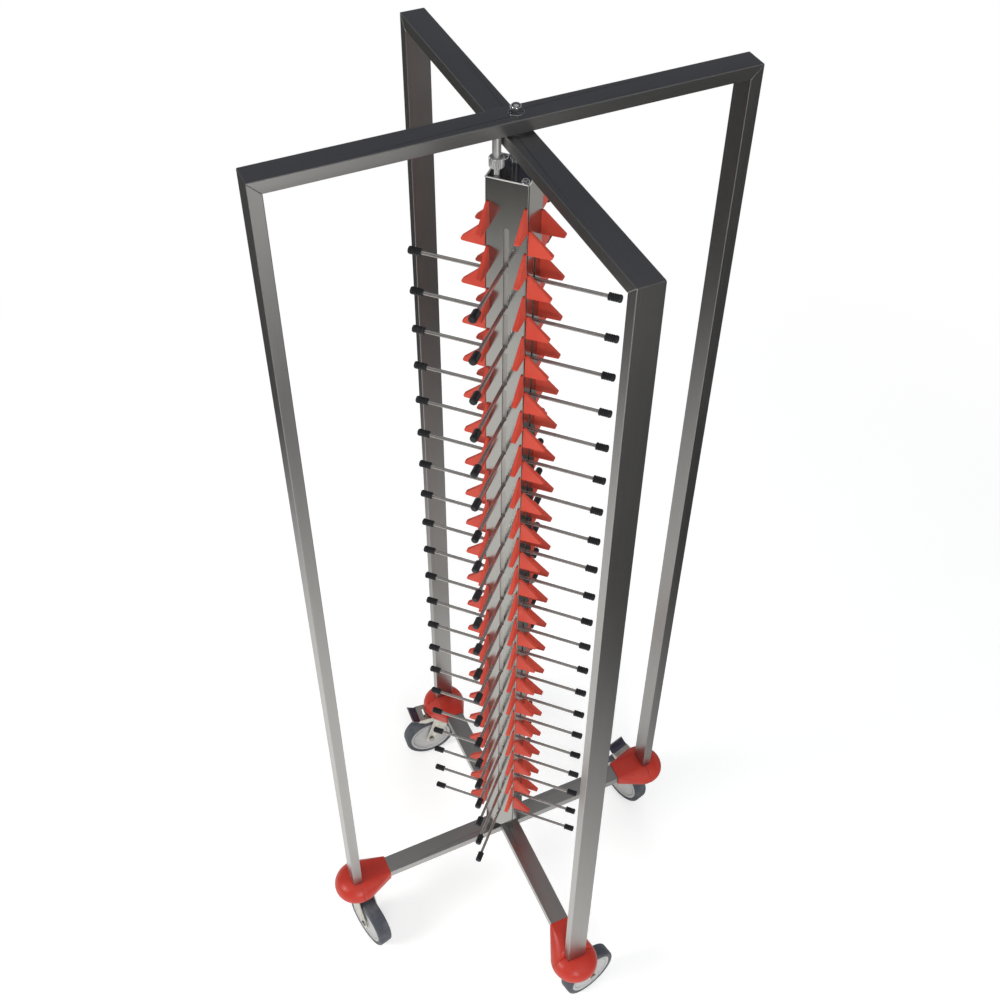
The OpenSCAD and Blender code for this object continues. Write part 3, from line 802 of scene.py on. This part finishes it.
@dataclass
class Bumpers:
    """The two-part corner bumpers, each a dome with a hood along its bar."""

    axis_at: float = 360 * MM
    radius: float = 50 * MM
    foot: float = 44 * MM
    crown: float = 14 * MM
    low: float = 160 * MM
    widest: float = 168 * MM
    top: float = 198 * MM
    wall: float = 3 * MM
    tail: float = 72 * MM
    tube: tuple[float, float] = (40 * MM, 20 * MM)
    play: float = 0.3 * MM
    seam: float = 0.8 * MM
    sections: int = 40
    mouth_bend: float = 4 * MM
    mouth_lip: float = 2 * MM
    shoulder: float = 2 * MM
    notch: tuple[float, float] = (0.15, 0.26)
    past: float = 5 * MM
    lining_stop: float = 351.0
    frames: tuple[tuple, ...] = (
        ("a", "outer_frame", 45.0, 373 * MM, 170 * MM),
        ("b", "stand", -45.0, 370 * MM, 192.5 * MM))

    def build(self) -> None:
        """Models the halves of both frames."""
        for side, body, heading, frame_half, bar in self.frames:
            cutters = [
                self.leg_cut(heading, frame_half), self.bar_cut(heading, bar), self.hollow(heading)]
            outer = Workpiece(f"bumper_domes_{side}", body, "bumper_plastic", RED_BUMPER)
            inner = Workpiece(f"bumper_hoods_{side}", body, "bumper_plastic", RED_BUMPER)
            for place in self.ends(heading):
                outer.hull(self.dome(-90, 90), place @ shift(x=self.seam / 2))
                hood = self.dome(90, 270) + self.mouth(bar) + self.ridge(frame_half, bar)
                inner.hull(hood, place @ shift(x=-self.seam / 2))
            outer.carve(cutters)
            inner.carve(cutters)
            outer.done(f"bumper_outer_halves_{side}", angle=38.0)
            inner.done(f"bumper_inner_halves_{side}", angle=38.0)

    def ends(self, heading: float) -> list[Matrix]:
        """The places of a frame's two swivel axes, with X pointing out."""
        return [turn(heading + half) @ shift(x=self.axis_at) for half in (0.0, 180.0)]

    def dome(self, start: float, stop: float, inset: float = 0.0) -> list[tuple]:
        """Points over a stretch of the dome.

        Args:
            start: Angle of its first section in degrees.
            stop: Angle of its last section in degrees.
            inset: How far the points lie inside the dome.

        Returns:
            The points.
        """
        foot = arc((self.foot - inset, self.widest),
                   (self.radius - self.foot, self.widest - self.low), -90, 0, 5)
        cap = arc((self.crown, self.widest),
                  (self.radius - self.crown - inset, self.top - self.widest - inset), 0, 90, 12)
        ways = [math.radians(start + (stop - start) * k / self.sections)
                for k in range(self.sections + 1)]
        return [(r * math.cos(a), r * math.sin(a), z) for a in ways for r, z in foot + cap]

    def mouth(self, bar: float) -> list[tuple]:
        """Points round the hood's mouth.

        Args:
            bar: Height of the bar's underside.

        Returns:
            The points.
        """
        wide, tall = (size / 2 + self.wall for size in self.tube)
        bend, middle = self.mouth_bend, bar + self.tube[1] / 2
        points = []
        for quarter, (y, z) in enumerate(((1, 1), (-1, 1), (-1, -1), (1, -1))):
            centre = (y * (wide - bend), middle + z * (tall - bend))
            points += arc(centre, (bend, bend), 90 * quarter, 90 * quarter + 90, 4)
        return [(x, y, z) for x in (-self.tail, -self.tail + self.mouth_lip) for y, z in points]

    def ridge(self, frame_half: float, bar: float) -> list[tuple]:
        """The two points beside the leg that keep the hood's top over its bar.

        Args:
            frame_half: Half the frame's width.
            bar: Height of the bar's underside.

        Returns:
            The points.
        """
        leg = frame_half - self.tube[1] - self.axis_at
        out, top = self.tube[0] / 2 + self.shoulder, bar + self.tube[1] + self.wall
        return [(leg, side * out, top) for side in (-1, 1)]

    def cutter(self, name: str) -> Workpiece:
        """An empty piece that only cuts others."""
        return Workpiece(name, "stand", "bumper_plastic", RED_BUMPER)

    def leg_cut(self, heading: float, frame_half: float) -> Workpiece:
        """The notches that the legs stand in."""
        cut = self.cutter("leg_notch")
        near = frame_half - self.tube[1] - self.play - self.axis_at
        far = frame_half + self.play - self.axis_at
        half = self.tube[0] / 2 + self.play
        for place in self.ends(heading):
            cut.block((near, -half, self.notch[0]), (far, half, self.notch[1]), place)
        return cut

    def bar_cut(self, heading: float, bar: float) -> Workpiece:
        """The channels that the bars lie in."""
        cut = self.cutter("bar_channel")
        half, top = self.tube[0] / 2 + self.play, bar + self.tube[1] + self.play
        for place in self.ends(heading):
            cut.block((-self.tail - self.past, -half, bar - self.play), (self.past, half, top), place)
        return cut

    def hollow(self, heading: float) -> Workpiece:
        """The round hollows, open below."""
        cut = self.cutter("bumper_hollow")
        lining = self.dome(0, self.lining_stop, self.wall)
        foot = [(x, y, self.low - self.mouth_lip) for x, y, z in lining if z < self.low + WELD_REACH]
        for place in self.ends(heading):
            cut.hull(lining + foot, place)
        return cut


@dataclass
class Caster:
    """One caster with its mount, fork, axle, wheel and tyre, and its pedal where it has one.

    Single sizes are in metres, and tables of points are in millimetres.
    """

    corner: Corner
    stands_at: float
    points_to: float
    sheet_edge: float = 0.5 * MM
    axis_at: float = 360 * MM
    trail: float = 43 * MM
    wheel_r: float = 62.5 * MM
    tyre_half: float = 16 * MM
    cheek: float = 20.3 * MM
    disc_inset: float = 2.4 * MM
    disc_back: float = 9.5 * MM
    disc_r: tuple[float, float] = (12.2 * MM, 42.4 * MM)
    disc_bend: float = 1.2 * MM
    disc_face: tuple[tuple, ...] = (
        (37.5, 0.0), (36.9, -0.7), (35.7, -0.7), (35.1, 0.0), (17, 0.5), (12.2, 0.9))
    bolt_r: tuple[float, float] = (4.0 * MM, 5.0 * MM)
    bolt_tip: float = 2 * MM
    head_r: tuple[float, float] = (6.2 * MM, 7.2 * MM)
    head_bend: float = 0.8 * MM
    heads: tuple[tuple, ...] = ((1.0, 3.4 * MM), (-1.0, 4.2 * MM))
    pin: tuple[float, float] = (26 * MM, 144.7 * MM)
    arm_gap: float = 0.3 * MM
    arm_eye: float = 6.5 * MM
    arm_end: tuple[tuple, ...] = ((46, 156), (70, 158), (74, 151), (56, 139))
    sheet: float = 2 * MM
    step_z: tuple[float, float] = (152.6 * MM, 155 * MM)
    step_bars: tuple[tuple, ...] = ((44, 52), (56, 70))
    step_sides: tuple[float, float] = (51 * MM, 57 * MM)
    step_side_wide: float = 7 * MM
    tread: tuple[tuple, ...] = (
        (69, 153.0), (76, 155.5), (82.5, 159.6), (88.5, 163.0), (87.7, 164.9), (81.7, 161.5),
        (75.2, 157.4), (69, 155.2))
    ribs: tuple[tuple, ...] = ((78, 159.8), (82, 162.2), (86, 164.1))
    rib_half: float = 0.8 * MM
    rib_short: float = 3 * MM
    rib_z: tuple[float, float] = (2 * MM, 0.4 * MM)
    lip_at: tuple[float, float] = (88.5 * MM, 164.2 * MM)
    lip_r: float = 1.8 * MM

    def build(self) -> None:
        """Dresses the caster's pieces and models its wheel discs, bolt and pedal."""
        at = self.corner.value
        dress(f"caster_mount_{at}", ZINC, self.sheet_edge)
        dress(f"caster_fork_{at}", ZINC, self.sheet_edge)
        dress(f"wheel_{at}", WHEEL_PLASTIC)
        dress(f"tyre_{at}", TYRE)
        self.discs()
        self.bolt()
        if f"brake_pedal_{at}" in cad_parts:
            self.pedal()

    def fork_frame(self) -> Matrix:
        """The fork's frame: the floor under the swivel axis, with X along the trail."""
        return turn(self.stands_at) @ shift(x=self.axis_at) @ turn(self.points_to - self.stands_at)

    def axle_frame(self) -> Matrix:
        """The axle's frame, with Z along the axle."""
        return self.fork_frame() @ shift(x=self.trail, z=self.wheel_r) @ turn(90.0, "X")

    def discs(self) -> None:
        """Makes the two moulded discs that fill the wheel between hub and rim."""
        at = self.corner.value
        discs = Workpiece(f"wheel_discs_{at}", f"rolling_wheel_{at}", "wheel_plastic", WHEEL_PLASTIC)
        flush, bend = self.tyre_half - self.disc_inset, self.disc_bend
        section = [(r, self.disc_back) for r in self.disc_r]
        section += arc((self.disc_r[1] - bend, flush - bend), (bend, bend), 0, 90, 4)
        section += [(r, flush + rise) for r, rise in metres(self.disc_face)]
        for side in (1.0, -1.0):
            discs.turned([(r, side * z) for r, z in section], self.axle_frame(), 96)
        discs.done(angle=40.0)

    def bolt(self) -> None:
        """Makes the axle bolt with a low head and nut."""
        at = self.corner.value
        bolt = Workpiece(f"axle_bolt_{at}", f"swivel_{at}", "caster_zinc", BOLT)
        place = self.axle_frame()
        (tip_r, full_r), tip = self.bolt_r, -self.cheek - self.bolt_tip
        bolt.turned([(0.0, tip), (tip_r, tip), (full_r, -self.cheek), (full_r, self.cheek),
                     (0.0, self.cheek)], place, 40)
        small, wide = self.head_r
        for side, tall in self.heads:
            top = self.cheek + tall
            levels = ((wide, self.cheek), (wide, top - self.head_bend), (small, top))
            bolt.hull(hexagon([(r, side * z) for r, z in levels]), place)
        bolt.done(f"caster_axle_{at}", edge=0.3 * MM)

    def pedal(self) -> None:
        """Makes the sheet pedal: two arms on the pin, a slotted step and a lipped tread."""
        at = self.corner.value
        pedal = Workpiece(f"brake_arms_{at}", f"pedal_{at}", "pedal_zinc", ZINC)
        tread = Workpiece(f"brake_tread_{at}", f"pedal_{at}", "pedal_zinc", TREAD_STEEL)
        place = self.fork_frame()
        near = self.cheek + self.arm_gap
        far = near + self.sheet
        low, high = self.step_z
        arm = arc(self.pin, (self.arm_eye, self.arm_eye), 250, 100, 8) + metres(self.arm_end)
        for side in (1.0, -1.0):
            pedal.plate(arm, side * near, side * far, place)
        for start, stop in metres(self.step_bars):
            pedal.block((start, -near, low), (stop, near, high), place)
        start, stop = self.step_sides
        for side in (1.0, -1.0):
            inner = side * (near - self.step_side_wide)
            pedal.block((start, side * near, low), (stop, inner, high), place)
        tread.plate(metres(self.tread), -far, far, place)
        half, reach, (under, over) = self.rib_half, near - self.rib_short, self.rib_z
        for x, z in metres(self.ribs):
            tread.block((x - half, -reach, z - under), (x + half, reach, z + over), place)
        lip = place @ shift(x=self.lip_at[0], z=self.lip_at[1]) @ turn(90.0, "X")
        pedal.turned([(0.0, -far), (self.lip_r, -far), (self.lip_r, far), (0.0, far)], lip, 24)
        pedal.done(f"brake_pedal_{at}", edge=0.35 * MM)
        tread.done(edge=0.35 * MM)


@dataclass
class Studio:
    """Camera, lamps, floor and world."""

    focal_px: float = 1296.5
    centre_px: tuple[float, float] = (514.47, 469.84)
    picture_px: float = 1000.0
    sensor: float = 36.0
    eye: Colour = (0.50925, -1.44051, 2.88404)
    heading: float = -19.186
    rise: float = -45.457
    roll: float = 1.179
    floor_half: float = 30.0
    soft_tint: Colour = (0.95, 0.97, 1.0)
    soft_level: float = 0.42
    lamps: list[tuple] = field(default_factory=lambda: [
        ("key", (-2.5, -2.2, 2.2), (0.0, 0.0, 0.5), 0.8, 24.0, (1.0, 0.985, 0.96), True),
        ("key_soft", (-2.3, -2.4, 2.8), (0.0, 0.0, 0.7), 1.6, 40.0, (1.0, 0.985, 0.96), False),
        ("fill", (3.2, -1.2, 2.6), (0.0, 0.0, 0.9), 2.6, 42.0, (0.95, 0.975, 1.0), False),
        ("back", (-1.6, 3.2, 1.0), (0.0, 0.0, 0.7), 1.6, 20.0, (1.0, 1.0, 1.0), False),
        ("near", (1.7, -3.0, 1.9), (0.0, 0.0, 0.3), 0.7, 18.0, (1.0, 0.99, 0.97), True),
        ("near_soft", (1.4, -3.1, 2.2), (0.0, 0.0, 0.5), 1.4, 26.0, (1.0, 0.99, 0.97), False),
    ])
    sky: tuple[tuple, ...] = (
        (0.0, (0.80, 0.80, 0.79)), (0.12, (0.42, 0.42, 0.43)), (0.24, (0.14, 0.145, 0.16)),
        (0.36, (0.068, 0.071, 0.086)), (0.46, (0.046, 0.049, 0.066)), (0.66, (0.046, 0.049, 0.066)),
        (0.79, (0.17, 0.17, 0.18)), (0.88, (0.42, 0.41, 0.40)), (1.0, (0.50, 0.49, 0.48)))

    def build(self) -> None:
        """Sets up the whole studio."""
        self.camera()
        self.floor()
        self.world()
        for lamp in self.lamps:
            self.lamp(*lamp)
        bpy.context.scene.view_settings.view_transform = "Standard"

    def camera(self) -> None:
        """Places the camera where the photograph was taken from."""
        heading, rise, roll = (math.radians(a) for a in (self.heading, self.rise, self.roll))
        look = Vector((
            math.sin(heading) * math.cos(rise), math.cos(heading) * math.cos(rise), math.sin(rise)))
        right = look.cross(Vector((0, 0, 1))).normalized()
        up = right.cross(look)
        x_axis = math.cos(roll) * right + math.sin(roll) * up
        y_axis = math.cos(roll) * up - math.sin(roll) * right
        data = bpy.data.cameras.new("camera")
        data.sensor_width = self.sensor
        data.lens = self.focal_px / self.picture_px * self.sensor
        data.shift_x = 0.5 - self.centre_px[0] / self.picture_px
        data.shift_y = self.centre_px[1] / self.picture_px - 0.5
        data.clip_end = 100.0
        camera = bpy.data.objects.new("camera", data)
        camera.matrix_world = (
            Matrix.Translation(self.eye) @ Matrix((x_axis, y_axis, -look)).transposed().to_4x4())
        bpy.context.scene.collection.objects.link(camera)
        bpy.context.scene.camera = camera

    def floor(self) -> None:
        """Lays the floor, which is also the backdrop."""
        mesh = bpy.data.meshes.new("floor")
        half = self.floor_half
        mesh.from_pydata([(-half, -half, 0), (half, -half, 0), (half, half, 0), (-half, half, 0)], [],
                         [(0, 1, 2, 3)])
        mesh.materials.append(StudioFloor("studio floor").material())
        floor = bpy.data.objects.new("floor", mesh)
        bpy.context.scene.collection.objects.link(floor)

    def world(self) -> None:
        """Soft light all round, white for the camera, and a dark band at mid height in reflections."""
        world = bpy.data.worlds.new("studio")
        bpy.context.scene.world = world
        world.use_nodes = True
        graph = Graph(world.node_tree)
        way = graph.node("ShaderNodeTexCoord", {}, {}, "Generated")
        height = graph.node("ShaderNodeSeparateXYZ", {}, {0: way}, "Z")
        shade = graph.node("ShaderNodeValToRGB", {"stops": list(self.sky)}, {"Fac": height.clamped()})
        mirrored = graph.node("ShaderNodeBackground", {}, {"Color": shade, "Strength": 1.0})
        plain = graph.node("ShaderNodeBackground", {}, {"Color": WHITE, "Strength": 1.0})
        soft = graph.node("ShaderNodeBackground", {}, {
            "Color": (*self.soft_tint, 1.0), "Strength": self.soft_level})
        camera = graph.node("ShaderNodeLightPath", {}, {}, "Is Camera Ray")
        glossy = graph.node("ShaderNodeLightPath", {}, {}, "Is Glossy Ray")
        seen = graph.node("ShaderNodeMixShader", {}, {0: camera, 1: soft, 2: plain})
        by_ray = graph.node("ShaderNodeMixShader", {}, {0: glossy, 1: seen, 2: mirrored})
        graph.node("ShaderNodeOutputWorld", {}, {"Surface": by_ray})

    def lamp(self, name: str, at: Colour, to: Colour, size: float, power: float, colour: Colour,
             mirrored: bool) -> None:
        """Hangs one soft square lamp.

        Args:
            name: The lamp's name.
            at: Where it hangs.
            to: The point it faces.
            size: Its side in metres.
            power: Its power in watts.
            colour: Its colour.
            mirrored: Whether glossy surfaces mirror it.
        """
        data = bpy.data.lights.new(name, "AREA")
        data.size = size
        data.energy = power
        data.color = colour
        lamp = bpy.data.objects.new(name, data)
        lamp.location = at
        lamp.visible_glossy = mirrored
        lamp.rotation_euler = (Vector(to) - Vector(at)).to_track_quat("-Z", "Y").to_euler()
        bpy.context.scene.collection.objects.link(lamp)


# Each caster's corner, the way it stands from the axis and the way its fork points, in degrees.
CASTERS = (
    (Corner.FRONT_LEFT, 225.0, 328.0), (Corner.FRONT_RIGHT, 315.0, 58.0),
    (Corner.BACK_RIGHT, 45.0, 150.0), (Corner.BACK_LEFT, 135.0, 222.0))


def main() -> None:
    """Builds the studio and dresses each sub-assembly in turn."""
    logging.basicConfig(level=logging.INFO)
    Studio().build()
    Frames().build()
    Column().build()
    PlateBanks().build()
    Bumpers().build()
    for caster in CASTERS:
        Caster(*caster).build()


if __name__ == "__main__":
    main()
